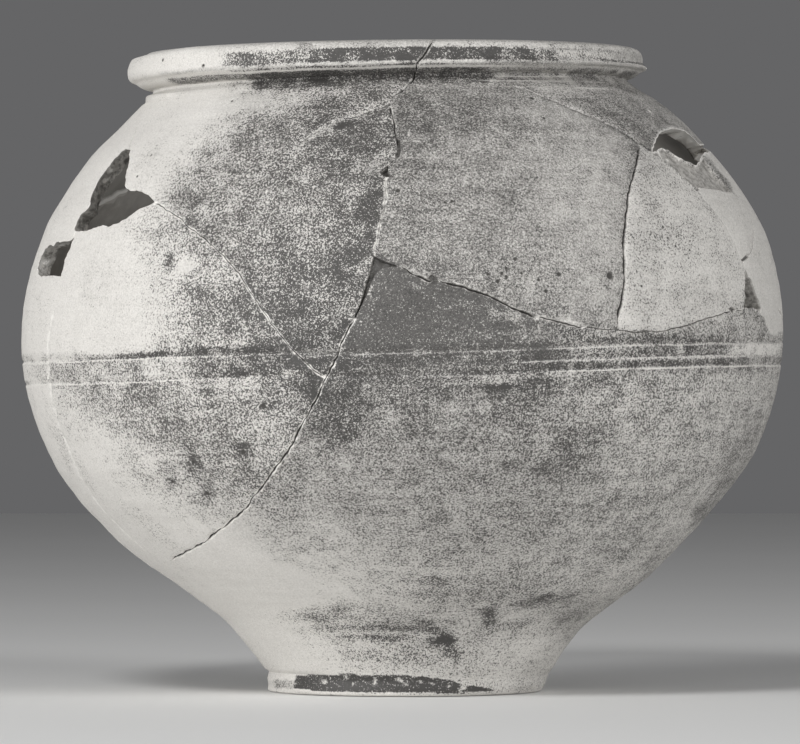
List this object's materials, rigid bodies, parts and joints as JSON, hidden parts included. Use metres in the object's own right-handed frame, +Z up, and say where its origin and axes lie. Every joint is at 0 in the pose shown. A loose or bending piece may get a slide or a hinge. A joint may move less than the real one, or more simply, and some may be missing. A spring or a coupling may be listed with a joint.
{
  "type": "wide-mouthed pottery jar",
  "caption": "Large round-bellied archaeological pottery jar with a collar rim and a small disc foot, rejoined from sherds with gaps in its shoulder, for display or storage.",
  "frame": {"origin": "centre of the foot's flat underside", "axes": "+Z up out of the mouth, -Y towards the front that the main join runs down, +X to the right seen from the front"},
  "size_m": [0.34, 0.34, 0.2859],
  "materials": {
    "fired_clay": "matt"
  },
  "bodies": {
    "root": {"jar": "fired_clay"}
  },
  "joints": []
}
